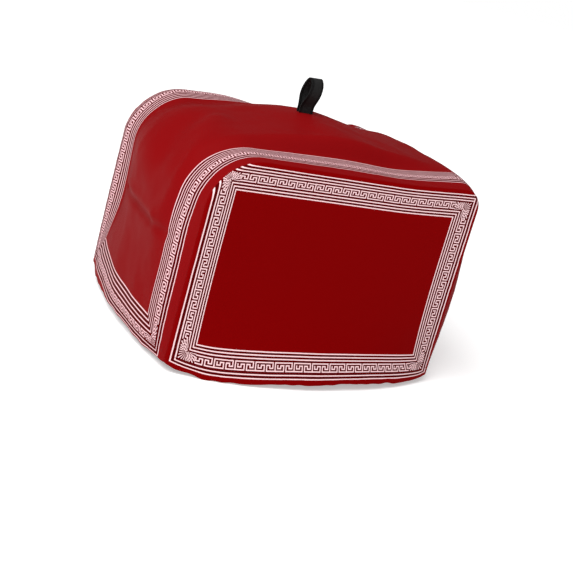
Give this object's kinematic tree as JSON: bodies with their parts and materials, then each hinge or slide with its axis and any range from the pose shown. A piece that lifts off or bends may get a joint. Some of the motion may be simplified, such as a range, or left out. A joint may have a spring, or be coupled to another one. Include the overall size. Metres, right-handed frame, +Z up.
{
  "type": "fitted appliance cover",
  "caption": "Fitted fabric cover, open at the bottom, with a key-pattern border printed on its panels and a webbing loop on top.",
  "frame": {"origin": "inside face of the top at the middle of its crown, where the cover rests on the appliance", "axes": "+X along the length toward the end with the tighter top corners, -Y out of the front panel, +Z up"},
  "size_m": [0.3436, 0.3302, 0.2773],
  "materials": {
    "cover_cloth": "smooth printed polyester with a soft sheen",
    "webbing": "ribbed woven tape"
  },
  "bodies": {
    "root": {"front_panel": "cover_cloth", "back_panel": "cover_cloth", "gusset": "cover_cloth", "handle_loop": "webbing"}
  },
  "joints": []
}
